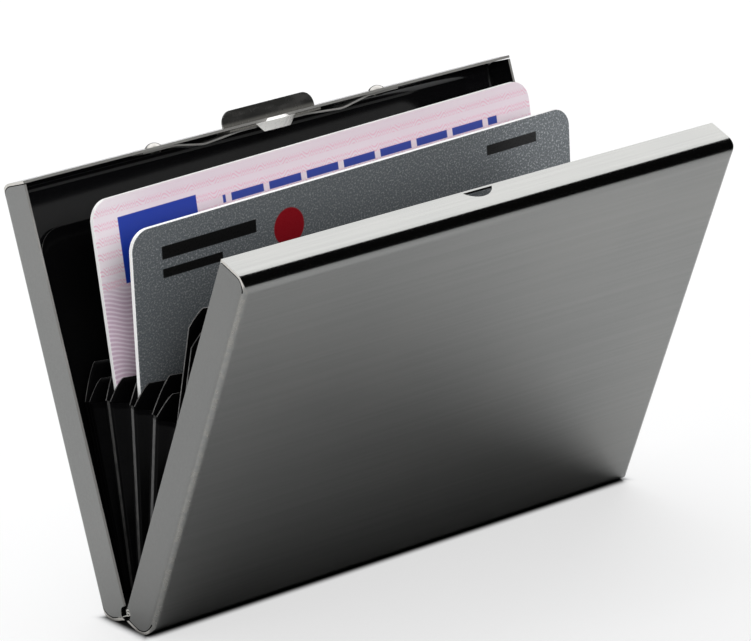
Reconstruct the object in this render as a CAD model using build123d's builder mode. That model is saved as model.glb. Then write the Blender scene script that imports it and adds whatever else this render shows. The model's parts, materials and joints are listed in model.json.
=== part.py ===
from build123d import *
import os
from math import asin, cos, degrees, radians, sin, tan

# Slim pressed-steel card case, open as a V and standing on its two bottom bends.
# X runs along the hinge, -Y is the front, +Z is up, the origin is on the floor under the hinge.
# Every piece is drawn in the leaning frame it belongs to: x along the hinge, y towards the rear,
# z up the panel, with the frame's origin on the hinge axis.

# Case
CASE_WIDTH = 95.3
CASE_HEIGHT = 65.8
SHELL_DEPTH = 5.96
SHEET = 0.4
TOP_BEND = 2.2
BOTTOM_BEND = 3.1
END_BEND = 1.0
PARTING_GAP = 0.05
OPENING = 40.68
FLANGE_SLIT = 0.15
RUN = 0.05
PUNCH = 3 * SHEET

# Piano hinge
HINGE_UP = 0.95
LEAF_SHEET = 0.25
KNUCKLE_RADIUS = HINGE_UP - SHEET
PIN_RADIUS = 0.27
BORE_RADIUS = 0.32
LEAF_WIDTH = 2.8
LEAF_LENGTH = 94.4
KNUCKLES = 9
KNUCKLE_GAP = 0.12
KNUCKLE_CLEAR = 0.15
RELIEF_RADIUS = 1.1
PIN_CHAMFER = 0.08

# Latch, under the middle of the rear shell's top flange
RIVET_X = 21.9
RIVET_DEPTH = 2.2
RIVET_HEAD = 1.25
RIVET_DOME = 0.6
RIVET_SHANK = 0.7
RIVET_TAIL = 1.0
RIVET_TAIL_HEIGHT = 0.3
SPRING_SHEET = 0.3
SPRING_NEAR = 0.7
SPRING_WIDTH = 3.0
SPRING_END_X = 25.0
SPRING_BEND_X = 19.0
SPRING_KINK_X = 13.6
SPRING_MIDDLE_X = 6.6
SPRING_KINK_DROP = 0.95
BUTTON_SHEET = 0.3
BUTTON_DROP = 0.08
TAB_HALF = 8.9
TAB_SHEET = 0.35
TAB_DEPTH = 1.4
TAB_PROUD = 2.4
TAB_CORNER = 2.0
TAB_CLEAR = 0.2
FOOT_DEPTH = 3.4
NOSE_HALF = 3.9
NOSE_REACH = 1.85
NOSE_HEIGHT = 1.45
CHIN_HALF = 2.6
CHIN_REACH = 0.7
BRIDGE = 0.35
SLOT_HALF = 2.8
SLOT_REACH = 1.6
LUG_HALF = 2.3
LUG_REACH = 1.2
LUG_TOP_HALF = 1.8
LUG_TOP_REACH = 0.6
LUG_HEIGHT = 0.38

# Pleated pockets
POCKETS = 6
PITCH = 1.72
LEAF = 0.2
SLEEVE_GAP = 0.84
POCKET_HALF = 44.0
POCKET_FOOT = 2.3
FOLD_TOP = 30.9
BACK_TOP = 36.3
BACK_CORNER = 3.1
FRONT_TOP = 33.8
FRONT_CORNER = 2.9
FINGER_DIP = 2.0
LEAF_ROUND = 0.9
TALL_BACK_TOP = 50.3
TALL_FRONT_TOP = 47.5
TALL_CORNER = 2.2
TALL_FALL = 2.6
LINER_TOP = 56.8
LINER_CORNER = 4.0
VALLEY_X = 42.4
FOLD_WALL = 0.25
FOLD_CLEAR = 0.06
HEM_CLEAR = 0.02
# Share of the opening at which each pocket stands, from the rear shell to the front shell
SHARES = (0.09, 0.2475, 0.4275, 0.585, 0.76, 0.92)
TALL_POCKET = 5
TAPE_HALF = 32.0
TAPE_LOW = 8.0
TAPE_HIGH = 50.0

# Cards (ISO/IEC 7810 ID-1), one in the second pocket and one in the third
CARD_LENGTH = 85.6
CARD_HEIGHT = 53.98
CARD_THICK = 0.76
CARD_CORNER = 3.18
CARD_TURN = 1.0
CARDS = {"card_rear": (2, 0.38, 33.9), "card_front": (3, 0.25, 30.55)}

LEAN = OPENING / 2
STACK = POCKETS * PITCH / 2
TOP_IN = CASE_HEIGHT - SHEET - HINGE_UP
FLANGE_STOP = HINGE_UP * tan(radians(LEAN)) + RUN
AXIS_HEIGHT = (
    BOTTOM_BEND
    - (BOTTOM_BEND - HINGE_UP) * cos(radians(LEAN))
    + (SHELL_DEPTH - BOTTOM_BEND) * sin(radians(LEAN))
)

os.makedirs("parts", exist_ok=True)


def leaning(tilt):
    """Frame on the hinge axis whose z leans back by tilt degrees."""
    up = Vector(0, sin(radians(tilt)), cos(radians(tilt)))
    return Plane(origin=(0, 0, AXIS_HEIGHT), x_dir=(1, 0, 0), z_dir=up)


def across(frame, x):
    """Plane square to the hinge at x: sketch x is depth, sketch y is up the panel."""
    return Plane(frame.from_local_coords((x, 0, 0)), x_dir=frame.y_dir, z_dir=frame.x_dir)


def facing(frame, depth):
    """Plane parallel to a panel at this depth: sketch x is along the hinge, sketch y up."""
    return Plane(frame.from_local_coords((0, depth, 0)), x_dir=frame.x_dir, z_dir=-frame.y_dir)


def level(frame, height):
    """Plane square to a panel at this height: sketch x is along the hinge, sketch y depth."""
    return Plane(frame.from_local_coords((0, 0, height)), x_dir=frame.x_dir, z_dir=frame.z_dir)


def finish(piece, name):
    piece.label = name
    export_step(piece, f"parts/{name}.step")


REAR = leaning(LEAN)
FRONT = leaning(-LEAN)


def tilt_of(pocket):
    return LEAN - OPENING * SHARES[pocket - 1]


def offset_of(pocket):
    return STACK - (pocket - 0.5) * PITCH


# ---------------------------------------------------------------- shells
def shell_form(frame, side, inset):
    """The solid within a half shell, inset from its outer surface; side is the depth's sign."""
    near = side * PARTING_GAP
    far = side * (SHELL_DEPTH - inset)
    low = inset - HINGE_UP
    high = CASE_HEIGHT - inset - HINGE_UP
    half = CASE_WIDTH / 2 - inset
    with BuildPart() as form:
        with BuildSketch(across(frame, -half)):
            with BuildLine():
                FilletPolyline(
                    (near, low), (far, low), (far, high), (near, high),
                    radius=[BOTTOM_BEND - inset, TOP_BEND - inset],
                )
                Line((near, high), (near, low))
            make_face()
        extrude(amount=2 * half)
        with BuildSketch(level(frame, low)):
            with BuildLine():
                FilletPolyline(
                    (-half, near), (-half, far), (half, far), (half, near),
                    radius=[END_BEND - inset, END_BEND - inset],
                )
                Line((half, near), (-half, near))
            make_face()
        extrude(amount=high - low, mode=Mode.INTERSECT)
    return form.part


def flange_slit(frame, side, top):
    """Thin gap, through both end walls, that parts them from one flange and its bend."""
    bend = (TOP_BEND if top else BOTTOM_BEND) - SHEET
    inward = -1 if top else 1
    flange = TOP_IN if top else SHEET - HINGE_UP
    far = side * (SHELL_DEPTH - SHEET)
    centre = (far - side * bend, flange + inward * bend)
    diagonal = (side * sin(radians(45)), -inward * sin(radians(45)))
    wide, narrow = bend, bend - FLANGE_SLIT
    wide_middle = (centre[0] + wide * diagonal[0], centre[1] + wide * diagonal[1])
    narrow_middle = (centre[0] + narrow * diagonal[0], centre[1] + narrow * diagonal[1])
    wall = CASE_WIDTH / 2 - SHEET
    with BuildPart() as slit:
        for start in (-CASE_WIDTH / 2 - SHEET, wall):
            with BuildSketch(across(frame, start)):
                with BuildLine():
                    Line((0, flange), (centre[0], flange))
                    ThreePointArc((centre[0], flange), wide_middle, (far, centre[1]))
                    Line((far, centre[1]), (far - side * FLANGE_SLIT, centre[1]))
                    ThreePointArc(
                        (far - side * FLANGE_SLIT, centre[1]),
                        narrow_middle,
                        (centre[0], flange + inward * FLANGE_SLIT),
                    )
                    Line((centre[0], flange + inward * FLANGE_SLIT), (0, flange + inward * FLANGE_SLIT))
                    Line((0, flange + inward * FLANGE_SLIT), (0, flange))
                make_face()
            extrude(amount=PUNCH)
    return slit.part


def half_moon(plane, half, reach, chord):
    """Half-moon facing the front: a straight chord of this half length, and an arc ahead of it."""
    with BuildSketch(plane) as moon:
        with BuildLine():
            ThreePointArc((-half, chord), (0, chord - reach), (half, chord))
            Line((half, chord), (-half, chord))
        make_face()
    return moon.sketch


def pressed_shell(frame, side):
    """Half the case, from one sheet: panel, top and bottom flanges, folded end walls."""
    outer = shell_form(frame, side, 0)
    inner = shell_form(frame, side, SHEET)
    top_slit = flange_slit(frame, side, True)
    bottom_slit = flange_slit(frame, side, False)
    with BuildPart() as shell:
        add(outer)
        add(inner, mode=Mode.SUBTRACT)
        add(top_slit, mode=Mode.SUBTRACT)
        add(bottom_slit, mode=Mode.SUBTRACT)
        # the bottom flange stops short of the hinge, where it meets the other at full opening
        with BuildSketch(across(frame, -CASE_WIDTH / 2)):
            with Locations((0, -HINGE_UP)):
                Rectangle(2 * FLANGE_STOP, 2 * (SHEET + LEAF_SHEET + FLANGE_SLIT))
            Circle(RELIEF_RADIUS)
        extrude(amount=CASE_WIDTH, mode=Mode.SUBTRACT)
    return shell.part


rear_blank = pressed_shell(REAR, 1)
with BuildPart() as rear_shell:
    add(rear_blank)
    with BuildSketch(level(REAR, TOP_IN - SHEET)):
        with Locations((0, TAB_DEPTH + TAB_SHEET / 2)):
            Rectangle(2 * (TAB_HALF + TAB_CLEAR), TAB_SHEET + 2 * TAB_CLEAR)
        with Locations((-RIVET_X, RIVET_DEPTH), (RIVET_X, RIVET_DEPTH)):
            Circle(RIVET_SHANK)
    extrude(amount=PUNCH, mode=Mode.SUBTRACT)
finish(rear_shell.part, "rear_shell")

front_blank = pressed_shell(FRONT, -1)
with BuildPart() as front_shell:
    add(front_blank)
    slot = half_moon(level(FRONT, TOP_IN - SHEET), SLOT_HALF, SLOT_REACH, -PARTING_GAP - BRIDGE)
    extrude(slot, amount=PUNCH, mode=Mode.SUBTRACT)
finish(front_shell.part, "front_shell")


# ---------------------------------------------------------------- hinge
KNUCKLE_PITCH = LEAF_LENGTH / KNUCKLES


def hinge_leaf(frame, side, first):
    """Leaf of the piano hinge: a strip on the flange, rolled round the pin at its knuckles."""
    knuckle = KNUCKLE_PITCH - KNUCKLE_GAP
    middles = [
        -LEAF_LENGTH / 2 + KNUCKLE_PITCH * (n + 0.5) for n in range(KNUCKLES)
    ]
    own = middles[first::2]
    other = middles[1 - first::2]
    with BuildPart() as leaf:
        with BuildSketch(level(frame, -KNUCKLE_RADIUS)):
            with Locations((0, side * LEAF_WIDTH / 2)):
                Rectangle(LEAF_LENGTH, LEAF_WIDTH)
        extrude(amount=LEAF_SHEET)
        with BuildSketch(level(frame, -KNUCKLE_RADIUS)):
            with Locations(*[(x, 0) for x in other]):
                Rectangle(
                    KNUCKLE_PITCH + KNUCKLE_GAP, 2 * (KNUCKLE_RADIUS + KNUCKLE_CLEAR)
                )
        extrude(amount=LEAF_SHEET, mode=Mode.SUBTRACT)
        for x in own:
            with BuildSketch(across(frame, x - knuckle / 2)):
                Circle(KNUCKLE_RADIUS)
            extrude(amount=knuckle)
        with BuildSketch(across(frame, -LEAF_LENGTH / 2)):
            Circle(BORE_RADIUS)
        extrude(amount=LEAF_LENGTH, mode=Mode.SUBTRACT)
    return leaf.part


hinge_leaf_rear = hinge_leaf(REAR, 1, 0)
finish(hinge_leaf_rear, "hinge_leaf_rear")
hinge_leaf_front = hinge_leaf(FRONT, -1, 1)
finish(hinge_leaf_front, "hinge_leaf_front")

with BuildPart() as hinge_pin:
    with BuildSketch(across(REAR, -LEAF_LENGTH / 2)):
        Circle(PIN_RADIUS)
    extrude(amount=LEAF_LENGTH)
    chamfer(hinge_pin.edges().filter_by(GeomType.CIRCLE), length=PIN_CHAMFER)
finish(hinge_pin.part, "hinge_pin")


# ---------------------------------------------------------------- latch
def spring_line(drop):
    """Right half of the spring's line, from its middle to its riveted end, lowered by drop."""
    middle = TOP_IN - BUTTON_DROP - BUTTON_SHEET - drop
    return [
        (SPRING_MIDDLE_X, middle),
        (SPRING_KINK_X, TOP_IN - SPRING_KINK_DROP - drop),
        (SPRING_BEND_X, TOP_IN - drop),
        (SPRING_END_X, TOP_IN - drop),
    ]


with BuildPart() as latch_spring:
    upper = spring_line(0)
    lower = spring_line(SPRING_SHEET)
    with BuildSketch(facing(REAR, SPRING_NEAR + SPRING_WIDTH)):
        with BuildLine():
            Polyline(*upper, *reversed(lower))
            Polyline(*[(-x, z) for x, z in upper], *[(-x, z) for x, z in reversed(lower)])
            Line(upper[0], (-upper[0][0], upper[0][1]))
            Line(lower[0], (-lower[0][0], lower[0][1]))
        make_face()
    extrude(amount=SPRING_WIDTH)
    with BuildSketch(level(REAR, TOP_IN - 2 * SPRING_SHEET)):
        with Locations((-RIVET_X, RIVET_DEPTH), (RIVET_X, RIVET_DEPTH)):
            Circle(RIVET_SHANK)
    extrude(amount=PUNCH, mode=Mode.SUBTRACT)
finish(latch_spring.part, "latch_spring")

with BuildPart() as latch_button:
    foot = TOP_IN - BUTTON_DROP - BUTTON_SHEET
    # foot plate on the spring's middle
    with BuildSketch(level(REAR, foot)):
        with Locations((0, PARTING_GAP)):
            Rectangle(2 * TAB_HALF, FOOT_DEPTH, align=(Align.CENTER, Align.MIN))
    extrude(amount=BUTTON_SHEET)
    # thumb tab, bent up through its slot in the flange
    tab_top = TOP_IN + SHEET + TAB_PROUD
    with BuildSketch(facing(REAR, TAB_DEPTH + TAB_SHEET)):
        with BuildLine():
            FilletPolyline(
                (-TAB_HALF, foot), (-TAB_HALF, tab_top), (TAB_HALF, tab_top), (TAB_HALF, foot),
                radius=TAB_CORNER,
            )
            Line((TAB_HALF, foot), (-TAB_HALF, foot))
        make_face()
    extrude(amount=TAB_SHEET)
    # half-moon nose that reaches under the front shell, and its lug for the slot
    nose_top = TOP_IN - RUN
    nose = half_moon(level(REAR, nose_top), NOSE_HALF, NOSE_REACH, PARTING_GAP)
    chin = half_moon(level(REAR, nose_top - NOSE_HEIGHT), CHIN_HALF, CHIN_REACH, PARTING_GAP)
    loft(sections=(chin, nose))
    with BuildSketch(level(REAR, foot)):
        with Locations((0, PARTING_GAP)):
            Rectangle(2 * LUG_HALF, LUG_REACH, align=(Align.CENTER, Align.CENTER))
    extrude(amount=BUTTON_SHEET)
    lug_chord = -PARTING_GAP - BRIDGE - RUN
    lug = half_moon(level(REAR, nose_top), LUG_HALF, LUG_REACH, lug_chord)
    lug_top = half_moon(level(REAR, nose_top + LUG_HEIGHT), LUG_TOP_HALF, LUG_TOP_REACH, lug_chord)
    loft(sections=(lug, lug_top))
finish(latch_button.part, "latch_button")

DOME_RADIUS = (RIVET_HEAD**2 + RIVET_DOME**2) / (2 * RIVET_DOME)
DOME_HALF_ANGLE = degrees(asin(RIVET_HEAD / DOME_RADIUS)) / 2
for name, x in (("latch_rivet_left", -RIVET_X), ("latch_rivet_right", RIVET_X)):
    with BuildPart() as rivet:
        base = facing(REAR, RIVET_DEPTH)
        base.origin = REAR.from_local_coords((x, RIVET_DEPTH, 0))
        outside = TOP_IN + SHEET
        inside = TOP_IN - SPRING_SHEET
        tail = inside - RIVET_TAIL_HEIGHT
        crown = outside + RIVET_DOME
        with BuildSketch(base):
            with BuildLine():
                Polyline(
                    (0, crown),
                    (0, tail),
                    (RIVET_TAIL, tail),
                    (RIVET_TAIL, inside),
                    (RIVET_SHANK, inside),
                    (RIVET_SHANK, outside),
                    (RIVET_HEAD, outside),
                )
                ThreePointArc(
                    (RIVET_HEAD, outside),
                    (
                        DOME_RADIUS * sin(radians(DOME_HALF_ANGLE)),
                        crown - DOME_RADIUS * (1 - cos(radians(DOME_HALF_ANGLE))),
                    ),
                    (0, crown),
                )
            make_face()
        revolve(axis=Axis(base.origin, base.y_dir))
    finish(rivet.part, name)


# ---------------------------------------------------------------- pockets
def pocket_leaf(frame, depth, top, corner, fall):
    """One leaf of a pocket, its upper corners cut back to the fold and its top edge dipped."""
    shoulder = top - fall
    with BuildPart() as leaf:
        with BuildSketch(facing(frame, depth + LEAF)):
            with BuildLine():
                Polyline(
                    (-POCKET_HALF + corner, top),
                    (-POCKET_HALF, shoulder),
                    (-POCKET_HALF, POCKET_FOOT),
                    (POCKET_HALF, POCKET_FOOT),
                    (POCKET_HALF, shoulder),
                    (POCKET_HALF - corner, top),
                )
                ThreePointArc(
                    (POCKET_HALF - corner, top),
                    (0, top - FINGER_DIP),
                    (-POCKET_HALF + corner, top),
                )
            make_face()
            fillet(vertices().group_by(Axis.Y)[-1], radius=LEAF_ROUND)
        extrude(amount=LEAF)
    return leaf.part


def pocket_hem(frame, middle):
    """Strip that joins the two leaves of a pocket: up one side, across the foot, up the other."""
    depth = SLEEVE_GAP - 2 * HEM_CLEAR
    side = POCKET_HALF - FOLD_WALL / 2
    with BuildPart() as hem:
        with BuildSketch(level(frame, POCKET_FOOT)):
            with Locations((-side, middle), (side, middle)):
                Rectangle(FOLD_WALL, depth)
        extrude(amount=FOLD_TOP - POCKET_FOOT)
        with BuildSketch(level(frame, POCKET_FOOT)):
            with Locations((0, middle)):
                Rectangle(2 * POCKET_HALF, depth)
        extrude(amount=FOLD_WALL)
    return hem.part


def liner(frame, depth):
    """Full-height end leaf with rounded upper corners."""
    with BuildPart() as leaf:
        with BuildSketch(facing(frame, depth + LEAF)):
            with Locations((0, POCKET_FOOT)):
                Rectangle(
                    2 * POCKET_HALF, LINER_TOP - POCKET_FOOT, align=(Align.CENTER, Align.MIN)
                )
            fillet(vertices().group_by(Axis.Y)[-1], radius=LINER_CORNER)
        extrude(amount=LEAF)
    return leaf.part


def fold(pocket):
    """Strip, creased inwards, that joins a pocket to the next: both sides and the foot."""
    rear, front = tilt_of(pocket), tilt_of(pocket + 1)
    frame = leaning((rear + front) / 2)
    middle = (offset_of(pocket) + offset_of(pocket + 1)) / 2
    clear = PITCH / 2 - SLEEVE_GAP / 2 - LEAF - FOLD_CLEAR
    heights = (POCKET_FOOT, FOLD_TOP)
    halves = [clear + z * tan(radians(rear - front) / 2) for z in heights]
    with BuildPart() as strip:
        for end in (-1, 1):
            for z, half in zip(heights, halves):
                with BuildSketch(level(frame, z)):
                    with BuildLine():
                        Polyline(
                            (end * POCKET_HALF, middle + half),
                            (end * VALLEY_X, middle),
                            (end * POCKET_HALF, middle - half),
                            (end * (POCKET_HALF - FOLD_WALL), middle - half),
                            (end * (VALLEY_X - FOLD_WALL), middle),
                            (end * (POCKET_HALF - FOLD_WALL), middle + half),
                            close=True,
                        )
                    make_face()
            loft(ruled=True)
        with BuildSketch(level(frame, POCKET_FOOT)):
            with Locations((0, middle)):
                Rectangle(2 * POCKET_HALF, 2 * halves[0])
        extrude(amount=FOLD_WALL)
    return strip.part


finish(liner(REAR, STACK - LEAF), "liner_rear")
finish(liner(FRONT, -STACK), "liner_front")
for pocket in range(1, POCKETS + 1):
    frame = leaning(tilt_of(pocket))
    middle = offset_of(pocket)
    tall = pocket == TALL_POCKET
    front_top = TALL_FRONT_TOP if tall else FRONT_TOP
    back_top = TALL_BACK_TOP if tall else BACK_TOP
    front_corner = TALL_CORNER if tall else FRONT_CORNER
    back_corner = TALL_CORNER if tall else BACK_CORNER
    front_fall = TALL_FALL if tall else FRONT_TOP - FOLD_TOP
    back_fall = TALL_FALL if tall else BACK_TOP - FOLD_TOP
    finish(
        pocket_leaf(frame, middle + SLEEVE_GAP / 2, back_top, back_corner, back_fall),
        f"pocket_{pocket}_back",
    )
    finish(
        pocket_leaf(frame, middle - SLEEVE_GAP / 2 - LEAF, front_top, front_corner, front_fall),
        f"pocket_{pocket}_front",
    )
    finish(pocket_hem(frame, middle), f"pocket_{pocket}_hem")

for pocket in range(1, POCKETS):
    finish(fold(pocket), f"fold_{pocket}")

# double-sided tape that holds the end leaves to the shells
for name, frame, side in (("tape_rear", REAR, 1), ("tape_front", FRONT, -1)):
    near = STACK
    far = SHELL_DEPTH - SHEET
    with BuildPart() as tape:
        with BuildSketch(facing(frame, side * (near + far) / 2)):
            with Locations((0, TAPE_LOW)):
                Rectangle(
                    2 * TAPE_HALF, TAPE_HIGH - TAPE_LOW, align=(Align.CENTER, Align.MIN)
                )
        extrude(amount=(far - near) / 2, both=True)
    finish(tape.part, name)

# ---------------------------------------------------------------- cards
for name, (pocket, x, height) in CARDS.items():
    frame = leaning(tilt_of(pocket))
    middle = offset_of(pocket)
    with BuildPart() as card:
        with BuildSketch(facing(frame, middle + CARD_THICK / 2)):
            with Locations((x, height)):
                RectangleRounded(CARD_LENGTH, CARD_HEIGHT, CARD_CORNER, rotation=CARD_TURN)
        extrude(amount=CARD_THICK)
    finish(card.part, name)

print("hinge axis height", round(AXIS_HEIGHT, 4))
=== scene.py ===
import json
from math import cos, hypot, pi, radians, sin, tan

import bmesh
import bpy
from mathutils import Matrix, Quaternion, Vector


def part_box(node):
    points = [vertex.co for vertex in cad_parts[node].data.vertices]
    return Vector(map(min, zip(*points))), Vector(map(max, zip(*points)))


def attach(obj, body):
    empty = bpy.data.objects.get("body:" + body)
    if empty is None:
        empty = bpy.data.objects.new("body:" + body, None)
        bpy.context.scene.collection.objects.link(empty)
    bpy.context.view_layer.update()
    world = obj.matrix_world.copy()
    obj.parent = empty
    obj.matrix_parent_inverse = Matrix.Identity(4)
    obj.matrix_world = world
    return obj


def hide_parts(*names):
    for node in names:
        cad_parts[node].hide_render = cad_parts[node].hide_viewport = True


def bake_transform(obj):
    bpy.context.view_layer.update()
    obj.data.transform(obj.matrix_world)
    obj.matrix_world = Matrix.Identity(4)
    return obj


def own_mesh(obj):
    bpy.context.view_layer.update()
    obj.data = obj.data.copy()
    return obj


# Slim pressed-steel card case, open as a V, with film pockets joined by creased folds, and two cards.
# Metres throughout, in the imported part's frame: X along the hinge, -Y the front, +Z up.
# Panels, pockets and folds are drawn in leaning frames on the hinge axis: x, depth to the rear, up.

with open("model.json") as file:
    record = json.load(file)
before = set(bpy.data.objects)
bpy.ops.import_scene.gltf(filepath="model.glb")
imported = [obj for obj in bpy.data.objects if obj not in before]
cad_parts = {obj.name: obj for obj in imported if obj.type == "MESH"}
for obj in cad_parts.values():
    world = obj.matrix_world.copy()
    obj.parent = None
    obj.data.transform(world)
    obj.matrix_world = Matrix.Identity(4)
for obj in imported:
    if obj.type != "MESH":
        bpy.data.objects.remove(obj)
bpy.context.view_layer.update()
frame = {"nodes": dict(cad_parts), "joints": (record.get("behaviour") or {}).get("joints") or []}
MM = 0.001

# ---------------------------------------------------------------- the CAD's own sizes
joints = {joint["name"]: joint for joint in frame["joints"]}
HINGE = Vector(joints["case_hinge"]["pos_m"])
LEAN = 20.34
OPENING = 2 * LEAN
SHARES = (0.09, 0.2475, 0.4275, 0.585, 0.76, 0.92)
POCKETS = 6
TALL_POCKET = 5
PITCH = 1.72 * MM
STACK = POCKETS * PITCH / 2
LEAF = 0.2 * MM
SLEEVE_GAP = 0.84 * MM
POCKET_HALF = 44.0 * MM
POCKET_FOOT = 2.3 * MM
FOLD_TOP = 30.9 * MM
FOLD_CLEAR = 0.06 * MM
HEM_CLEAR = 0.02 * MM
VALLEY_X = 42.4 * MM
FINGER_DIP = 2.0 * MM
LINER_TOP = 56.8 * MM
LINER_CORNER = 4.0 * MM
SHELL_DEPTH = 5.96 * MM
SHEET = 0.4 * MM
CASE_HEIGHT = 65.8 * MM
HINGE_UP = 0.95 * MM
CASE_MIDDLE = CASE_HEIGHT / 2 - HINGE_UP
TOP_BEND = 2.2 * MM
BOTTOM_BEND = 3.1 * MM
CARD_LENGTH = 85.6 * MM
CARD_HEIGHT = 53.98 * MM
CARD_THICK = 0.76 * MM
CARD_CORNER = 3.18 * MM
CARD_TURN = 1.0

# ---------------------------------------------------------------- sizes that only the looks need
SHELL_MIDDLE = 3.0 * MM  # depth that a shell's outside and inside are told apart from
FOLD_WALL = 0.22 * MM  # a little under the CAD's strips
X_AXIS = Vector((1, 0, 0))
ENDS = ((-1, "left"), (1, "right"))


def leaning(tilt):
    """Depth and up directions of a panel that leans back by tilt degrees."""
    a = radians(tilt)
    return Vector((0, cos(a), -sin(a))), Vector((0, sin(a), cos(a)))


def placed(tilt, x, depth, up):
    """Point at (x, depth, up) in the leaning frame on the hinge axis."""
    back, rise = leaning(tilt)
    return HINGE + Vector((x, 0, 0)) + back * depth + rise * up


def tilt_of(pocket):
    """How far a pocket leans back, in degrees."""
    return LEAN - OPENING * SHARES[pocket - 1]


def offset_of(pocket):
    """Depth of a pocket's middle plane."""
    return STACK - (pocket - 0.5) * PITCH


# ---------------------------------------------------------------- writing node trees
class Value:
    """A node's number output, with arithmetic."""

    def __init__(self, tree, socket):
        self.tree = tree
        self.socket = socket

    def math(self, operation, *others):
        node = self.tree.nodes.new("ShaderNodeMath")
        node.operation = operation
        for place, item in zip(node.inputs, (self, *others)):
            if isinstance(item, Value):
                self.tree.links.new(item.socket, place)
            else:
                place.default_value = item
        return Value(self.tree, node.outputs[0])

    def __add__(self, other):
        return self.math("ADD", other)

    def __sub__(self, other):
        return self.math("SUBTRACT", other)

    def __mul__(self, other):
        return self.math("MULTIPLY", other)

    __radd__ = __add__
    __rmul__ = __mul__

    def size(self):
        return self.math("ABSOLUTE")

    def most(self, other):
        return self.math("MAXIMUM", other)

    def rise(self, low, high):
        """0 below low and 1 above high, smooth between; falls if low is the larger."""
        node = self.tree.nodes.new("ShaderNodeMapRange")
        node.interpolation_type = "SMOOTHSTEP"
        node.inputs["From Min"].default_value = low
        node.inputs["From Max"].default_value = high
        self.tree.links.new(self.socket, node.inputs["Value"])
        return Value(self.tree, node.outputs["Result"])

    def within(self, low, high, soft):
        """1 between low and high and 0 outside, with edges as wide as soft."""
        return self.rise(low - soft, low + soft) * self.rise(high + soft, high - soft)


class Finish:
    """A material of one Principled shader, and the pieces that its nodes start from."""

    def __init__(self, name, **fixed):
        self.material = bpy.data.materials.new(name)
        self.material.use_nodes = True
        self.tree = self.material.node_tree
        self.shader = self.tree.nodes["Principled BSDF"]
        self.place = self.tree.nodes.new("ShaderNodeTexCoord")
        for socket, number in fixed.items():
            self.shader.inputs[socket.replace("_", " ")].default_value = number

    def along(self, direction, origin=None):
        """Distance of the surface point along a direction, or the normal's share of it."""
        node = self.tree.nodes.new("ShaderNodeVectorMath")
        node.operation = "DOT_PRODUCT"
        node.inputs[1].default_value = direction
        kind = "Normal" if origin is None else "Object"
        self.tree.links.new(self.place.outputs[kind], node.inputs[0])
        part = Value(self.tree, node.outputs["Value"])
        return part if origin is None else part - Vector(direction).dot(origin)

    def axes(self):
        """The surface point's own x, y and z."""
        return [self.along(axis, Vector()) for axis in Matrix.Identity(3)]

    def join(self, *parts):
        """A vector from three parts, each a Value or a plain number."""
        node = self.tree.nodes.new("ShaderNodeCombineXYZ")
        for place, item in zip(node.inputs, parts):
            if isinstance(item, Value):
                self.tree.links.new(item.socket, place)
            else:
                place.default_value = item
        return node.outputs[0]

    def noise(self, where, detail=2.0, roughness=0.5):
        node = self.tree.nodes.new("ShaderNodeTexNoise")
        node.inputs["Scale"].default_value = 1.0
        node.inputs["Detail"].default_value = detail
        node.inputs["Roughness"].default_value = roughness
        self.tree.links.new(where, node.inputs["Vector"])
        return Value(self.tree, node.outputs["Fac"])

    def waves(self, parts, counts, detail=2.0, roughness=0.5):
        """Noise with so many features per metre along each of the parts."""
        return self.noise(self.join(*(part * n for part, n in zip(parts, counts))), detail, roughness)

    def tint(self, share, first, second):
        """Colour that goes from first to second as share goes from 0 to 1."""
        node = self.tree.nodes.new("ShaderNodeMix")
        node.data_type = "RGBA"
        sockets = [s for s in node.inputs if s.type == "RGBA"]
        for place, colour in zip(sockets, (first, second)):
            if isinstance(colour, tuple):
                place.default_value = (*colour, 1.0)
            else:
                self.tree.links.new(colour, place)
        self.tree.links.new(share.socket, node.inputs["Factor"])
        return [s for s in node.outputs if s.type == "RGBA"][0]

    def give(self, name, value):
        """Drives one of the shader's inputs."""
        socket = value.socket if isinstance(value, Value) else value
        self.tree.links.new(socket, self.shader.inputs[name])

    def bump(self, height, distance):
        """Relief that is distance deep where height is 1."""
        node = self.tree.nodes.new("ShaderNodeBump")
        node.inputs["Distance"].default_value = distance
        self.tree.links.new(height.socket, node.inputs["Height"])
        self.give("Normal", node.outputs["Normal"])

    def dress(self, *pieces):
        """Makes this the only material of the pieces."""
        for piece in pieces:
            piece.data.materials.clear()
            piece.data.materials.append(self.material)


FINE = {"detail": 3.0, "roughness": 0.6}  # noise for fine marks

# ---------------------------------------------------------------- steel
BRUSH_WAY = (1.0, 0.0, 0.05)
BRUSHED_DARK = (0.262, 0.265, 0.258)
BRUSHED_LIGHT = (0.290, 0.292, 0.284)
CLOUDED = (0.33, 0.325, 0.31)
SCUFFED = (0.36, 0.35, 0.32)
GLOSS_BLACK = (0.0035, 0.0035, 0.004)
END_WALL_SHADE = (0.02, 0.02, 0.02)
BARE_RIM = (0.62, 0.60, 0.56)
BARE_CUT = (0.36, 0.355, 0.34)
OUTSIDE_ROUGHNESS = 0.13
INSIDE_ROUGHNESS = 0.10
BRUSH_RELIEF = 0.0012 * MM
FACE_CHANGE = 0.1 * MM
CUT_DEPTH = (0.5 * MM, 0.2 * MM)
RIM_SOFT = 0.04 * MM
RIM_START = 0.1 * MM


def flange_rim(depth, past, bend):
    """1 where an end wall's outline is the flange's own sheet; past is the way beyond the bend's start."""
    beyond = (depth - (SHELL_DEPTH - bend)).most(0.0)
    past = past.most(0.0)
    radius = (beyond * beyond + past * past).math("SQRT")
    return radius.rise(bend - SHEET - RIM_SOFT, bend - SHEET) * past.rise(0.0, RIM_START)


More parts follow.
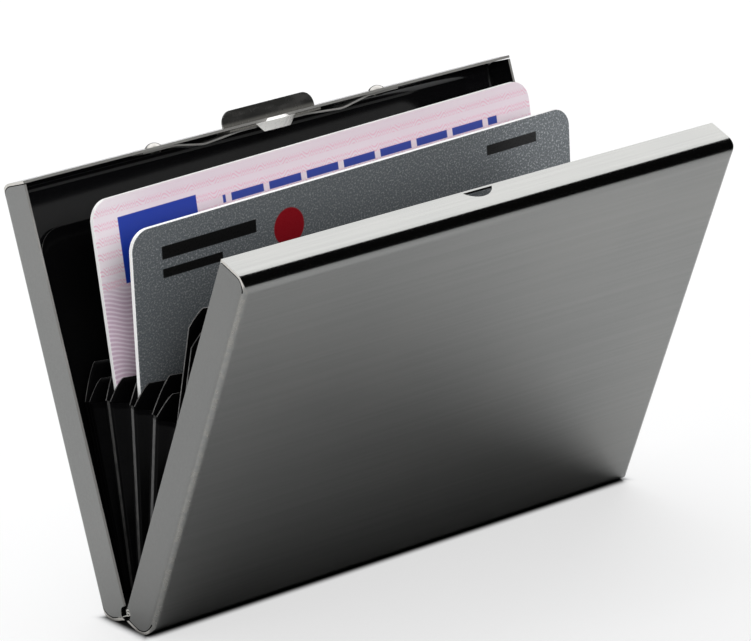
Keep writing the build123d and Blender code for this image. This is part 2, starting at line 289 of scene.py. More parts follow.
def case_steel(node, tilt, side, end_shade):
    """Plated steel: brushed along the hinge outside, gloss black inside, bare at its cut edges.

    side is 1 for the rear shell and -1 for the front one; the last argument is how far the end walls'
    colour is darkened, a painted shade.
    """
    finish = Finish(f"case_steel_{node}", Metallic=1.0, Anisotropic=0.2)
    back, rise = leaning(tilt)
    x = finish.along(X_AXIS, Vector())
    depth = finish.along(back, HINGE) * side
    up = finish.along(rise, HINGE)
    nx = finish.along(X_AXIS)
    nd = finish.along(back) * side
    nu = finish.along(rise)
    outward = nx * x + nd * (depth - SHELL_MIDDLE) + nu * (up - CASE_MIDDLE)
    outside = outward.rise(-FACE_CHANGE, FACE_CHANGE)
    cut = (nd * -1).rise(0.6, 0.9) * depth.rise(*CUT_DEPTH)
    streak = finish.waves((x, depth, up), (25, 2600, 2600), **FINE)
    fleck = finish.waves((x, depth, up), (900, 900, 900), **FINE)
    cloud = finish.waves((x, depth, up), (45, 45, 45))
    corner = (nx * nd).size().rise(0.12, 0.42) * nd.rise(0.05, 0.2)
    worn = corner * fleck.rise(0.36, 0.66)
    brushed = finish.tint(streak.rise(0.25, 0.8), BRUSHED_DARK, BRUSHED_LIGHT)
    clouded = finish.tint(cloud.rise(0.3, 0.75) * 0.25, brushed, CLOUDED)
    scuffed = finish.tint(worn * 0.6, clouded, SCUFFED)
    plated = finish.tint(outside, GLOSS_BLACK, scuffed)
    end = nx.size().rise(0.8, 0.95) * outside
    low_rim = flange_rim(depth, up * -1 + (BOTTOM_BEND - HINGE_UP), BOTTOM_BEND)
    top_rim = flange_rim(depth, up - (CASE_HEIGHT - HINGE_UP - TOP_BEND), TOP_BEND)
    # painted shade: the end walls' colour is darkened in place of dimmer reflections off them
    end_shaded = finish.tint(end * end_shade, plated, END_WALL_SHADE)
    rimmed = finish.tint(end * (low_rim + top_rim), end_shaded, BARE_RIM)
    finish.give("Base Color", finish.tint(cut, rimmed, BARE_CUT))
    dull = OUTSIDE_ROUGHNESS + streak * 0.05 + cloud * 0.03 + worn * 0.12
    gloss = fleck * 0.02 + INSIDE_ROUGHNESS
    finish.give("Roughness", dull * outside + gloss * (outside * -1 + 1))
    finish.give("Metallic", outside - cut * 0.65)
    finish.give("Tangent", finish.join(*BRUSH_WAY))
    finish.bump(streak * outside + worn * 2.0, BRUSH_RELIEF)
    finish.dress(frame["nodes"][node])


case_steel("rear_shell", LEAN, side=1, end_shade=0.15)
case_steel("front_shell", -LEAN, side=-1, end_shade=0.26)

PLATED_RELIEF = 0.002 * MM


def bright_steel(name, colour, dark, rough, nodes):
    """Small plated parts: fine tumbling marks, and a little dirt in patches."""
    finish = Finish(name, Metallic=1.0)
    place = finish.axes()
    fine = finish.waves(place, (2200, 2200, 2200), **FINE)
    patch = finish.waves(place, (350, 350, 350))
    finish.give("Base Color", finish.tint(patch.rise(0.35, 0.75), colour, dark))
    finish.give("Roughness", fine * 0.14 + patch * 0.08 + rough)
    finish.bump(fine, PLATED_RELIEF)
    finish.dress(*[frame["nodes"][n] for n in nodes])


bright_steel(
    "hinge_nickel", colour=(0.74, 0.72, 0.67), dark=(0.50, 0.47, 0.42), rough=0.14,
    nodes=["hinge_leaf_rear", "hinge_leaf_front", "hinge_pin"],
)
bright_steel(
    "rivet_nickel", colour=(0.42, 0.41, 0.39), dark=(0.22, 0.21, 0.20), rough=0.12,
    nodes=["latch_rivet_left", "latch_rivet_right"],
)

TAB_DARK = (0.045, 0.045, 0.043)
TAB_SMEARED = (0.10, 0.098, 0.094)
TAB_FOOT_HIGHLIGHT = (0.34, 0.33, 0.30)
NOSE_REFLECTION = (0.97, 0.96, 0.93)
NOSE_DEPTH = 0.04 * MM
TAB_FOOT_UP = (65.6 * MM, 64.9 * MM)
TAB_FOOT_DEPTH = 0.02 * MM
TAB_ROUGHNESS = 0.16


def button_steel():
    """Polished dark push tab; its foot is paler, a painted highlight, and its nose is near white, a
    painted reflection.
    """
    finish = Finish("button_steel")
    back, rise = leaning(LEAN)
    x = finish.along(X_AXIS, Vector())
    depth = finish.along(back, HINGE)
    up = finish.along(rise, HINGE)
    fine = finish.waves((x, depth, up), (1800, 1800, 1800), **FINE)
    smear = finish.waves((x, depth, up), (240, 240, 700))
    nose = depth.rise(NOSE_DEPTH, 0.0)
    foot = up.rise(*TAB_FOOT_UP) * depth.rise(0.0, TAB_FOOT_DEPTH)
    dark = finish.tint(smear.rise(0.3, 0.8), TAB_DARK, TAB_SMEARED)
    # painted highlight: the tab's foot is made paler where its bend would catch the light
    dark = finish.tint(foot * 0.7, dark, TAB_FOOT_HIGHLIGHT)
    # painted reflection: the nose is painted near white and made less metallic, in place of the bright
    # surroundings it would mirror
    finish.give("Base Color", finish.tint(nose, dark, NOSE_REFLECTION))
    finish.give("Metallic", nose * -0.35 + 0.45)
    finish.give("Roughness", fine * 0.10 + smear * 0.12 + TAB_ROUGHNESS)
    finish.bump(fine, PLATED_RELIEF)
    finish.dress(frame["nodes"]["latch_button"])


button_steel()

# ---------------------------------------------------------------- foam tape
FOAM_PORE = (0.02, 0.02, 0.02)
FOAM_SKIN = (0.05, 0.05, 0.048)
FOAM_RELIEF = 0.05 * MM


def foam_tape():
    """Dull dark foam with open pores."""
    finish = Finish("foam_tape", Roughness=0.9)
    pores = finish.waves(finish.axes(), (1400, 1400, 1400), **FINE)
    finish.give("Base Color", finish.tint(pores.rise(0.3, 0.7), FOAM_PORE, FOAM_SKIN))
    finish.bump(pores, FOAM_RELIEF)
    finish.dress(frame["nodes"]["tape_rear"], frame["nodes"]["tape_front"])


foam_tape()


# ---------------------------------------------------------------- meshes
def piece(name, points, faces):
    """A smooth-shaded mesh object whose faces all look outwards."""
    mesh = bpy.data.meshes.new(name)
    mesh.from_pydata([tuple(p) for p in points], [], faces)
    mesh.validate()
    mesh.update()
    form = bmesh.new()
    form.from_mesh(mesh)
    bmesh.ops.recalc_face_normals(form, faces=form.faces)
    form.to_mesh(mesh)
    form.free()
    obj = bpy.data.objects.new(name, mesh)
    bpy.context.scene.collection.objects.link(obj)
    mesh.shade_smooth()
    return obj


def slab(name, rows, thickness):
    """Closed sheet of even thickness: rows of points on one face, pushed back by thickness.

    Each row is a list of (point, direction) pairs; direction is where the other face lies.
    """
    wide = len(rows[0])
    tall = len(rows)
    near = [point for row in rows for point, _ in row]
    far = [point + way * thickness for row in rows for point, way in row]
    points = near + far
    shift = len(near)
    faces = []
    for r in range(tall - 1):
        for c in range(wide - 1):
            a = r * wide + c
            quad = (a, a + 1, a + wide + 1, a + wide)
            faces.append(quad)
            faces.append(tuple(k + shift for k in reversed(quad)))
    rim = (
        list(range(wide))
        + [r * wide + wide - 1 for r in range(1, tall)]
        + [(tall - 1) * wide + c for c in range(wide - 2, -1, -1)]
        + [r * wide for r in range(tall - 2, 0, -1)]
    )
    for k, a in enumerate(rim):
        b = rim[(k + 1) % len(rim)]
        faces.append((b, a, a + shift, b + shift))
    return piece(name, points, faces)


SHARP = radians(50)


def soften(obj, width):
    """Rounds the sharp edges of a piece."""
    bevel = obj.modifiers.new("edge", "BEVEL")
    bevel.width = width
    bevel.segments = 2
    bevel.limit_method = "ANGLE"
    bevel.angle_limit = SHARP
    bevel.harden_normals = True
    return obj


# ---------------------------------------------------------------- pocket film
FILM_DARK = (0.0012, 0.0012, 0.0013)
FILM_LIGHT = (0.0035, 0.0035, 0.0038)
FILM_ROUGHNESS = 0.22
FILM_RELIEF = 0.02 * MM
EDGE_ROUGHNESS = 0.25


def film():
    """Thin black polypropylene film: satin and faintly creased."""
    finish = Finish("pocket_film", Specular_IOR_Level=0.05)
    place = finish.axes()
    crease = finish.waves(place, (180, 180, 420), 3.0, 0.55)
    grain = finish.waves(place, (3500, 3500, 3500), 1.0)
    finish.give("Base Color", finish.tint(grain, FILM_DARK, FILM_LIGHT))
    finish.give("Roughness", crease * 0.12 + grain * 0.06 + FILM_ROUGHNESS)
    finish.bump(crease * 2.0 + grain * 0.15, FILM_RELIEF)
    return finish


def film_edge(name, dark, pale):
    """The film made paler along its edges and ridges, a painted highlight."""
    finish = Finish(name)
    edge_noise = finish.waves(finish.axes(), (900, 900, 900), **FINE)
    finish.give("Base Color", finish.tint(edge_noise.rise(0.3, 0.7), dark, pale))
    finish.give("Roughness", edge_noise * 0.2 + EDGE_ROUGHNESS)
    return finish


FILM = film()
FILM_EDGE_HIGHLIGHT = film_edge("pocket_film_edge_highlight", dark=(0.06, 0.06, 0.06), pale=(0.17, 0.165, 0.16))
FILM_HEM_HIGHLIGHT = film_edge("pocket_film_hem_highlight", dark=(0.030, 0.030, 0.030), pale=(0.062, 0.061, 0.059))

LEAF_LEVELS = 26
CORNER_STEPS = 12
MIDDLE_STEPS = 22
CORNER_POWER = 1.35
EDGE_FROM = FOLD_TOP - 0.4 * MM


def stations(corner):
    """Places along a leaf, close together at its cut corners."""
    inner = POCKET_HALF - corner
    middle = [inner * (k / MIDDLE_STEPS - 1) for k in range(2 * MIDDLE_STEPS + 1)]
    left = [-POCKET_HALF + corner * k / CORNER_STEPS for k in range(CORNER_STEPS)]
    return left + middle + [-x for x in reversed(left)]


def leaf_piece(name, tilt, depth, height, corner, body):
    """One flat leaf; height(x) is its top edge, whose rim above the folds is paler, a painted highlight.
    """
    back, rise = leaning(tilt)
    rows = []
    for r in range(LEAF_LEVELS + 1):
        row = []
        for x in stations(corner):
            up = POCKET_FOOT + (height(x) - POCKET_FOOT) * r / LEAF_LEVELS
            row.append((placed(tilt, x, depth, up), back))
        rows.append(row)
    obj = slab(name, rows, LEAF)
    obj.data.materials.append(FILM.material)
    obj.data.materials.append(FILM_EDGE_HIGHLIGHT.material)
    # painted highlight: the leaf's rim faces above the folds take the paler edge finish
    for face in obj.data.polygons:
        rim = abs(face.normal.dot(back)) < 0.5
        if rim and (face.center - HINGE).dot(rise) > EDGE_FROM:
            face.material_index = 1
    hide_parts(name)
    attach(obj, body)


def pocket_edge(top, corner, fall):
    """Top edge of a pocket leaf: corners rounded down towards the fold, and a shallow finger dip."""

    def height(x):
        inner = POCKET_HALF - corner
        away = (abs(x) - inner) / corner
        if away > 0:
            return top - fall * away**CORNER_POWER
        return top - FINGER_DIP * (1 - (x / inner) ** 2)

    return height


def liner_edge(x):
    """Top edge of a full-height leaf, its corners rounded."""
    away = max(0.0, abs(x) - (POCKET_HALF - LINER_CORNER))
    return LINER_TOP - LINER_CORNER + max(0.0, LINER_CORNER**2 - away**2) ** 0.5


# top, corner length and corner fall of each kind of leaf
SHAPES = {
    "back": (36.3 * MM, 3.1 * MM, 5.4 * MM),
    "front": (33.8 * MM, 2.9 * MM, 2.9 * MM),
    "tall_back": (50.3 * MM, 2.2 * MM, 2.6 * MM),
    "tall_front": (47.5 * MM, 2.2 * MM, 2.6 * MM),
}
leaf_piece("liner_rear", LEAN, STACK - LEAF, liner_edge, LINER_CORNER, "rear_shell")
leaf_piece("liner_front", -LEAN, -STACK, liner_edge, LINER_CORNER, "front_shell")
for pocket in range(1, POCKETS + 1):
    kind = "tall_" if pocket == TALL_POCKET else ""
    for side, depth in (("back", SLEEVE_GAP / 2), ("front", -SLEEVE_GAP / 2 - LEAF)):
        top, corner, fall = SHAPES[kind + side]
        leaf_piece(
            f"pocket_{pocket}_{side}", tilt_of(pocket), offset_of(pocket) + depth,
            pocket_edge(top, corner, fall), corner, f"pocket_{pocket}",
        )


def nowhere(face):
    """For a strip of film with no pale faces."""
    return False


def film_piece(name, rows, node, body, pale=nowhere):
    """Strip of film from rows of points; pale(face) says which faces are paler."""
    obj = slab(name, rows, FOLD_WALL)
    obj.data.materials.append(FILM.material)
    obj.data.materials.append(FILM_HEM_HIGHLIGHT.material)
    for face in obj.data.polygons:
        if pale(face):
            face.material_index = 1
    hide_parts(node)
    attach(obj, body)
    return obj


FOOT_STEPS = 10


def foot_rows(tilt, middle, half):
    """Rows of a strip that lies across a pocket's or fold's foot."""
    rise = leaning(tilt)[1]
    rows = []
    for t in (-1, 0, 1):
        depth = middle + half * t
        rows.append([
            (placed(tilt, -POCKET_HALF + POCKET_HALF * c / FOOT_STEPS, depth, POCKET_FOOT), rise)
            for c in range(2 * FOOT_STEPS + 1)
        ])
    return rows


HEM_LEVELS = 40
HEM_ACROSS = (-1.0, -0.75, -0.45, -0.15, 0.15, 0.45, 0.75, 1.0)
HEM_BOW = 0.04 * MM
HEM_STRAY = 0.015 * MM
HEM_PALE = 0.3 * MM
HEM_WAVES = 400
WAVE_SHIFT = 2.1


def hem_pieces(pocket):
    """The strips that close a pocket at its sides, with a painted highlight line down each but the first
    pocket's, and the strip under it.
    """
    tilt = tilt_of(pocket)
    back = leaning(tilt)[0]
    middle = offset_of(pocket)
    half = SLEEVE_GAP / 2 - HEM_CLEAR
    node, body = f"pocket_{pocket}_hem", f"pocket_{pocket}"

    # painted highlight: a paler line down the middle of each hem's outer face, left off the first pocket
    def ridge_highlight(face):
        outer = abs(face.normal.dot(X_AXIS)) > 0.7
        off_middle = abs((face.center - HINGE).dot(back) - middle)
        return pocket > 1 and outer and off_middle < HEM_PALE

    for end, word in ENDS:
        side = Vector((-end, 0, 0))
        rows = []
        for r in range(HEM_LEVELS + 1):
            up = POCKET_FOOT + (FOLD_TOP - POCKET_FOOT) * r / HEM_LEVELS
            stray = HEM_STRAY * sin(up * HEM_WAVES + pocket * WAVE_SHIFT + end)
            row = []
            for t in HEM_ACROSS:
                x = end * (POCKET_HALF - HEM_BOW * t * t) + stray * (1 - t * t)
                row.append((placed(tilt, x, middle + half * t, up), side))
            rows.append(row)
        film_piece(f"{node}_{word}", rows, node, body, ridge_highlight)
    film_piece(f"{node}_foot", foot_rows(tilt, middle, half), node, body)


FOLD_LEVELS = 30
FOLD_HALF_STEPS = 8
FOLD_ROUND = 0.25
FOLD_LOWER = 0.5 * MM
VALLEY_STRAY = 0.10 * MM
VALLEY_WAVES = 260


def crease_bow(t):
    """How far out a fold stands: 0 in its rounded valley and 1 where it meets the pockets."""
    return (hypot(t, FOLD_ROUND) - FOLD_ROUND) / (hypot(1, FOLD_ROUND) - FOLD_ROUND)


def fold_pieces(pocket):
    """Creased end strips between a pocket and the next, and the web under them.
    """
    rear, front = tilt_of(pocket), tilt_of(pocket + 1)
    tilt = (rear + front) / 2
    slope = tan(radians(rear - front) / 2)
    middle = (offset_of(pocket) + offset_of(pocket + 1)) / 2
    clear = PITCH / 2 - SLEEVE_GAP / 2 - LEAF - FOLD_CLEAR
    node = body = f"fold_{pocket}"
    parts = []
    for end, word in ENDS:
        side = Vector((-end, 0, 0))
        rows = []
        for r in range(FOLD_LEVELS + 1):
            up = POCKET_FOOT + (FOLD_TOP - FOLD_LOWER - POCKET_FOOT) * r / FOLD_LEVELS
            half = clear + up * slope
            stray = VALLEY_STRAY * sin(up * VALLEY_WAVES + pocket * WAVE_SHIFT + end)
            valley = VALLEY_X + stray
            row = []
            for k in range(-FOLD_HALF_STEPS, FOLD_HALF_STEPS + 1):
                t = k / FOLD_HALF_STEPS
                x = end * (valley + (POCKET_HALF - valley) * crease_bow(t))
                row.append((placed(tilt, x, middle + half * t, up), side))
            rows.append(row)
        parts.append(film_piece(f"{node}_{word}", rows, node, body))
    web = foot_rows(tilt, middle, clear + POCKET_FOOT * slope)
    parts.append(film_piece(f"{node}_web", web, node, body))
    for part in parts:
        tuple(placed(tilt, 0, middle, 0))
        clear / (clear + FOLD_TOP * slope)
        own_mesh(part)


for pocket in range(1, POCKETS + 1):
    hem_pieces(pocket)
for pocket in range(1, POCKETS):
    fold_pieces(pocket)


# ---------------------------------------------------------------- latch spring
# the strip's top line from its middle to its end, as places along the hinge and heights
SPRING_LINE = tuple(
    (x * MM, z * MM)
    for x, z in ((0.0, 64.07), (6.6, 64.07), (13.6, 63.5), (19.0, 64.45), (25.0, 64.45))
)
SPRING_END = SPRING_LINE[-1][0]
SPRING_SHEET = 0.3 * MM
SPRING_NEAR = 0.7 * MM
SPRING_WIDTH = 3.0 * MM
SPRING_FIXED_X = 19.0 * MM
SPRING_FREE_X = 9.0 * MM
SPRING_ROUND = 4
SPRING_ROUND_STEP = 0.2 * MM
SPRING_SOFT = 0.05 * MM
SPRING_STEPS = 50
SPRING_PARTING = 0.02
SPRING_DARK = (0.30, 0.30, 0.29)
SPRING_LIGHT = (0.50, 0.49, 0.47)
SPRING_ROUGHNESS = 0.25


def spring_finish():
    """Spring steel with fine marks along the strip."""
    finish = Finish("spring_steel", Metallic=0.4)
    fine = finish.waves(finish.axes(), (60, 2400, 2400), **FINE)
    finish.give("Base Color", finish.tint(fine.rise(0.3, 0.7), SPRING_DARK, SPRING_LIGHT))
    finish.give("Roughness", fine * 0.15 + SPRING_ROUGHNESS)
    finish.bump(fine, PLATED_RELIEF)
    return finish


def spring_height(x):
    """Top of the spring at x, its kinks rounded off."""
    total = 0.0
    for k in range(-SPRING_ROUND, SPRING_ROUND + 1):
        at = abs(x + k * SPRING_ROUND_STEP)
        for (x0, z0), (x1, z1) in zip(SPRING_LINE, SPRING_LINE[1:]):
            if at <= x1 or x1 == SPRING_END:
                total += z0 + (z1 - z0) * (at - x0) / (x1 - x0)
                break
    return total / (2 * SPRING_ROUND + 1)


def spring_half(name, end, finish):
    """Half of the strip, from its middle out to its end."""
    down = -leaning(LEAN)[1]
    rows = []
    for k in range(SPRING_STEPS + 1):
        x = end * SPRING_END * max(k, SPRING_PARTING) / SPRING_STEPS
        top = spring_height(x)
        rows.append([
            (placed(LEAN, x, SPRING_NEAR + SPRING_WIDTH * c / 4, top), down) for c in range(5)
        ])
    spring = slab(name, rows, SPRING_SHEET)
    finish.dress(spring)
    soften(spring, SPRING_SOFT)
    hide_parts("latch_spring")
    tuple(placed(LEAN, end * SPRING_FIXED_X, 0, SPRING_LINE[0][1]))
    tuple(placed(LEAN, end * SPRING_FREE_X, 0, SPRING_LINE[0][1]))
    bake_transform(spring)


SPRING = spring_finish()
for end, word in ENDS:
    spring_half(f"latch_spring_{word}", end, SPRING)


# ---------------------------------------------------------------- cards
CARD_SOFT = 0.07 * MM
CARD_CORNER_STEPS = 12
CARD_IOR = 1.5


def card_outline():
    """A card's outline round its middle, with quarter circles at the corners."""
    outline = []
    for cx, cy, start in ((1, 1, 0), (-1, 1, 90), (-1, -1, 180), (1, -1, 270)):
        for k in range(CARD_CORNER_STEPS + 1):
            a = radians(start + 90 * k / CARD_CORNER_STEPS)
            u = cx * (CARD_LENGTH / 2 - CARD_CORNER) + CARD_CORNER * cos(a)
            v = cy * (CARD_HEIGHT / 2 - CARD_CORNER) + CARD_CORNER * sin(a)
            outline.append((u, v))
    return outline


def card_piece(node, joint, art):
    """A card with rounded corners and softened edges, in the place of its CAD node."""
    low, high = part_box(node)
    centre = (low + high) / 2
    rise = Vector(joints[joint]["axis"]).normalized()
    away = -X_AXIS.cross(rise)
    turn = radians(CARD_TURN)
    u_way = X_AXIS * cos(turn) + rise * sin(turn)
    v_way = rise * cos(turn) - X_AXIS * sin(turn)
    outline = card_outline()
    count = len(outline)
    points = [
        centre + u_way * u + v_way * v + away * (side * CARD_THICK / 2)
        for side in (-1, 1)
        for u, v in outline
    ]
    faces = [tuple(range(count)), tuple(range(2 * count - 1, count - 1, -1))]
    for k in range(count):
        b = (k + 1) % count
        faces.append((k, k + count, b + count, b))
    obj = soften(piece(node + "_print", points, faces), CARD_SOFT)
    art(node, centre, u_way, v_way, away).dress(obj)
    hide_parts(node)
    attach(obj, node)


PRINT_SOFT = 0.06 * MM
STRIPE = (11.0 * MM, 22.0 * MM)
STRIPE_BLACK = (0.02, 0.018, 0.016)


def card_start(node, centre, u_way, v_way, away):
    """A card's finish, its places along the card and up it, its facing, and where its front is."""
    finish = Finish(node + "_print", IOR=CARD_IOR)
    u = finish.along(u_way, centre)
    v = finish.along(v_way, centre)
    facing = finish.along(away)
    return finish, u, v, facing, facing.rise(-0.5, -0.7)


def rectangle(u, v, left, right, low, high):
    """1 inside a plain printed rectangle, whose sides are in millimetres from the card's middle."""
    return u.within(left * MM, right * MM, PRINT_SOFT) * v.within(low * MM, high * MM, PRINT_SOFT)


def whole_card(finish, v, facing, front, printed, core):
    """The printed front, the plastic's own colour elsewhere, and a dark stripe on the back."""
    stripe = facing.rise(0.5, 0.7) * v.within(*STRIPE, PRINT_SOFT)
    return finish.tint(stripe, finish.tint(front, core, printed), STRIPE_BLACK)


FULL_TURN = 2 * pi
REAR_CORE = (0.86, 0.86, 0.85)
PALE_PINK, PINK = (0.88, 0.81, 0.85), (0.84, 0.72, 0.79)
LILAC_LINE, LILAC_GROUND = (0.66, 0.49, 0.61), (0.84, 0.72, 0.81)
ROSE = (0.83, 0.48, 0.60)
BAR_BLUE = (0.02, 0.05, 0.33)
PATCH_BLUE = (0.006, 0.035, 0.34)
HATCH_PITCH = 0.66 * MM
HATCH_DRIFT = 0.30 * MM
HATCH_FADE = (17.0 * MM, 11.0 * MM)
ROW_PITCH = 2.2 * MM
THREAD_PITCH = 0.62 * MM
THREAD_RIPPLE = 0.42 * MM
THREAD_LOW = (12.5 * MM, 14.0 * MM)
THREAD_HIGH = (25.9 * MM, 25.5 * MM)
BAR_PITCH = 7.3 * MM
BAR_SOFT = 0.05 * MM
BAR_ROW = (21.5 * MM, 22.7 * MM)
BAR_ENDS = (-18.8 * MM, 35.8 * MM)
REAR_ROUGHNESS = 0.28
REAR_RELIEF = 0.003 * MM


def rear_art(node, centre, u_way, v_way, away):
    """Pale pink card: fine wavy lines in rows, a plain blue patch and a row of plain blue bars."""
    finish, u, v, facing, front = card_start(node, centre, u_way, v_way, away)
    drift = (u * 820 + (v * 160).math("SINE") * 2.0).math("SINE") * HATCH_DRIFT
    hatch = ((v + u * 0.18 + drift) * (FULL_TURN / HATCH_PITCH)).math("SINE").rise(-0.5, 0.9)
    blush = finish.noise(finish.join(u * 30, v * 70, 4.0), 1.0).rise(0.35, 0.65)
    pale = finish.tint(blush, PALE_PINK, PINK)
    lilac = finish.tint(hatch, LILAC_LINE, LILAC_GROUND)
    ground = finish.tint(v.rise(*HATCH_FADE), pale, lilac)
    # rows of fine wavy lines, in place of small print
    row = (v * (1 / ROW_PITCH)).math("FRACT").within(0.22, 0.78, 0.05)
    ripple = (u * 5200 + (u * 1400).math("SINE") * 2.2).math("SINE") * THREAD_RIPPLE
    thread = ((v + ripple) * (FULL_TURN / THREAD_PITCH)).math("SINE").rise(-0.1, 0.7)
    words = row * thread * v.rise(*THREAD_LOW) * v.rise(*THREAD_HIGH)
    printed = finish.tint(words * 0.8, ground, ROSE)
    # a row of plain bars, in place of the card's title
    bars = (u * (1 / BAR_PITCH) + 0.4).math("FRACT").within(0.05, 0.90, 0.008)
    bars = bars * v.within(*BAR_ROW, BAR_SOFT) * u.within(*BAR_ENDS, BAR_SOFT)
    barred = finish.tint(bars, printed, BAR_BLUE)
    patch = rectangle(u, v, left=-38.4, right=-23.7, low=14.0, high=23.9)
    marked = finish.tint(patch, barred, PATCH_BLUE)
    finish.give("Base Color", whole_card(finish, v, facing, front, marked, REAR_CORE))
    grain = finish.noise(finish.join(u * 2500, v * 2500, facing * 3), 1.0)
    finish.give("Roughness", grain * 0.1 + REAR_ROUGHNESS)
    finish.bump(grain, REAR_RELIEF)
    return finish


FRONT_CORE = (0.92, 0.92, 0.91)
FLECK_DARK, FLECK_BRIGHT = (0.17, 0.19, 0.205), (0.66, 0.68, 0.70)
MOTTLE = (0.26, 0.28, 0.29)
INK = (0.012, 0.012, 0.012)
TAIL_INK = (0.014, 0.014, 0.014)
DISC_RED = (0.42, 0.012, 0.022)
DISC_U, DISC_V = -13.5 * MM, 21.1 * MM
DISC_EDGE = (2.95 * MM, 2.8 * MM)
FRONT_ROUGHNESS = 0.30
FRONT_RELIEF = 0.004 * MM


def front_art(node, centre, u_way, v_way, away):
    """Metallic grey card with a fine fleck, plain dark bars and one plain disc."""
    finish, u, v, facing, front = card_start(node, centre, u_way, v_way, away)
    fleck = finish.noise(finish.join(u * 3300, v * 3300, 0.0), 2.0, 0.7)
    mottle = finish.noise(finish.join(u * 900, v * 900, 2.0))
    spark = fleck.rise(0.50, 0.68)
    ground = finish.tint(mottle * 0.35, finish.tint(spark, FLECK_DARK, FLECK_BRIGHT), MOTTLE)
    # plain bars and a plain disc, in place of the issuer's marks
    long_bar = rectangle(u, v, left=-37.4, right=-19.7, low=21.7, high=23.7)
    short_bar = rectangle(u, v, left=-37.4, right=-26.2, low=18.9, high=20.3)
    inked = finish.tint(long_bar + short_bar, ground, INK)
    ring = ((u - DISC_U).math("POWER", 2.0) + (v - DISC_V).math("POWER", 2.0)).math("SQRT")
    inked = finish.tint(ring.rise(*DISC_EDGE), inked, DISC_RED)
    tail = rectangle(u, v, left=25.8, right=35.9, low=22.9, high=24.5)
    inked = finish.tint(tail, inked, TAIL_INK)
    finish.give("Base Color", whole_card(finish, v, facing, front, inked, FRONT_CORE))
    finish.give("Metallic", front * (spark * 0.3 + 0.35))
    finish.give("Roughness", fleck * 0.15 + FRONT_ROUGHNESS)
    finish.bump(fleck, FRONT_RELIEF)
    return finish


card_piece("card_rear", "card_rear_slide", rear_art)
card_piece("card_front", "card_front_slide", front_art)

# ---------------------------------------------------------------- floor
WHITE = (1.0, 1.0, 1.0, 1.0)
FLOOR_HALF = 4.0
FLOOR_SHADE = (0.05, 0.05, 0.05)
FLOOR_WHITE = (0.86, 0.865, 0.875)
# half length and half depth of the foot that the case stands on
FOOT_HALF_X = 46.6 * MM
FOOT_HALF_Y = 3.6 * MM
SHADE_FADE = (0.6 * MM, 2.2 * MM)
GLOW_FADE = (1.1 * MM, 3.0 * MM)
GLOW_SHARE = 0.68
GLOW = 1.03


def floor_finish():
    """White sweep that glows a little to the camera, with a painted contact shadow darkening it close
    round the case's foot.
    """
    finish = Finish("floor_white", Roughness=0.7, Specular_IOR_Level=0.2)
    tree = finish.tree
    glow = tree.nodes.new("ShaderNodeEmission")
    glow.inputs["Color"].default_value = WHITE
    glow.inputs["Strength"].default_value = GLOW
    ray = tree.nodes.new("ShaderNodeLightPath")
    blend = tree.nodes.new("ShaderNodeMixShader")
    along_x = finish.along(X_AXIS, Vector()).size()
    along_y = finish.along(Vector((0, 1, 0)), Vector()).size()
    away = (along_x - FOOT_HALF_X).most(along_y - FOOT_HALF_Y)
    # painted contact shadow: the floor's colour goes dark close round the case's foot
    finish.give("Base Color", finish.tint(away.rise(*SHADE_FADE), FLOOR_SHADE, FLOOR_WHITE))
    share = Value(tree, ray.outputs["Is Camera Ray"]) * away.rise(*GLOW_FADE) * GLOW_SHARE
    tree.links.new(share.socket, blend.inputs[0])
    tree.links.new(finish.shader.outputs[0], blend.inputs[1])
    tree.links.new(glow.outputs[0], blend.inputs[2])
    tree.links.new(blend.outputs[0], tree.nodes["Material Output"].inputs["Surface"])
    return finish


def floor_sweep():
    """Flat white floor under the case."""
    mesh = bpy.data.meshes.new("floor")
    corners = [(x * FLOOR_HALF, y * FLOOR_HALF, 0) for x, y in ((-1, -1), (1, -1), (1, 1), (-1, 1))]
    mesh.from_pydata(corners, [], [(0, 1, 2, 3)])
    sweep = bpy.data.objects.new("floor", mesh)
    bpy.context.scene.collection.objects.link(sweep)
    floor_finish().dress(sweep)
    return sweep


floor = floor_sweep()


# ---------------------------------------------------------------- light
def softbox(name, place, target, wide, tall, radiance, mirrored=True):
    """Rectangular area light that looks at target with this brightness."""
    light = bpy.data.lights.new(name, "AREA")
    light.shape = "RECTANGLE"
    light.size = wide
    light.size_y = tall
    light.energy = radiance * pi * wide * tall
    obj = bpy.data.objects.new(name, light)
    obj.location = place
    obj.rotation_mode = "QUATERNION"
    obj.rotation_quaternion = (Vector(target) - Vector(place)).to_track_quat("-Z", "Y")
    obj.visible_glossy = mirrored
    bpy.context.scene.collection.objects.link(obj)
    return obj


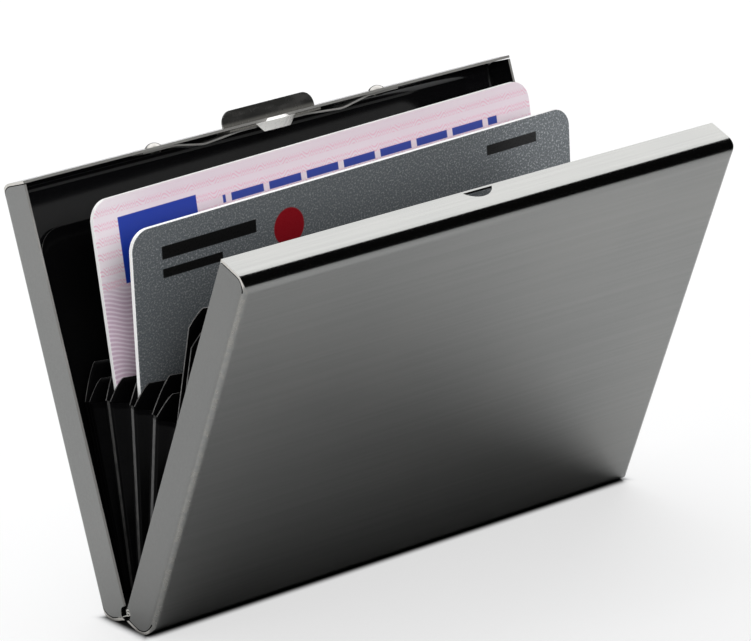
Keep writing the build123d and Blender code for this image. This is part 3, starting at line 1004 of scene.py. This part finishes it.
softbox(
    "overhead", place=(0.30, 0.62, 0.80), target=(0.05, 0.05, 0.0), wide=1.6, tall=1.1, radiance=2.35,
)
fill = softbox(
    "fill", place=(-0.5, -1.3, 0.9), target=(0, 0, 0.03), wide=1.6, tall=1.2, radiance=4.2,
    mirrored=False,
)
left_out = bpy.data.collections.new("fill_leaves_out")
left_out.objects.link(floor)
left_out.collection_objects[0].light_linking.link_state = "EXCLUDE"
fill.light_linking.receiver_collection = left_out
wash = softbox(
    "wash", place=(0.1, -0.06, 1.4), target=(0.1, -0.06, 0), wide=1.6, tall=1.1, radiance=1.8,
    mirrored=False,
)
softbox(
    "side", place=(-1.1, 0.35, 0.6), target=(0, 0, 0), wide=0.9, tall=0.9, radiance=1.7,
    mirrored=False,
)
lit_only = bpy.data.collections.new("wash_lights_only")
lit_only.objects.link(floor)
wash.light_linking.receiver_collection = lit_only

ROOM_GLOW = 0.006


def studio_world():
    """A dark room that looks white only where the camera sees it."""
    world = bpy.data.worlds.new("studio")
    bpy.context.scene.world = world
    world.use_nodes = True
    tree = world.node_tree
    room = tree.nodes["Background"]
    room.inputs["Color"].default_value = WHITE
    room.inputs["Strength"].default_value = ROOM_GLOW
    seen = tree.nodes.new("ShaderNodeBackground")
    seen.inputs["Color"].default_value = WHITE
    path = tree.nodes.new("ShaderNodeLightPath")
    mix = tree.nodes.new("ShaderNodeMixShader")
    tree.links.new(path.outputs["Is Camera Ray"], mix.inputs[0])
    tree.links.new(room.outputs[0], mix.inputs[1])
    tree.links.new(seen.outputs[0], mix.inputs[2])
    tree.links.new(mix.outputs[0], tree.nodes["World Output"].inputs["Surface"])


studio_world()

# ---------------------------------------------------------------- camera, fitted to the photograph
AZIMUTH = radians(-41.051)
ELEVATION = radians(19.932)
ROLL = radians(0.156)
DISTANCE = 0.8095
AIM = Vector((0.528 * MM, 0.0, 36.2 * MM))
LENS = 260.1
SENSOR = 36.0

camera = bpy.data.objects.new("camera", bpy.data.cameras.new("camera"))
bpy.context.scene.collection.objects.link(camera)
camera.data.lens = LENS
camera.data.sensor_width = SENSOR
camera.data.clip_start = 0.05
camera.data.clip_end = 20.0
out = Vector((
    sin(AZIMUTH) * cos(ELEVATION), -cos(AZIMUTH) * cos(ELEVATION), sin(ELEVATION),
))
camera.location = AIM + out * DISTANCE
camera.rotation_mode = "QUATERNION"
camera.rotation_quaternion = Quaternion(out, ROLL) @ (-out).to_track_quat("-Z", "Y")
bpy.context.scene.camera = camera
bpy.context.scene.view_settings.view_transform = "Standard"
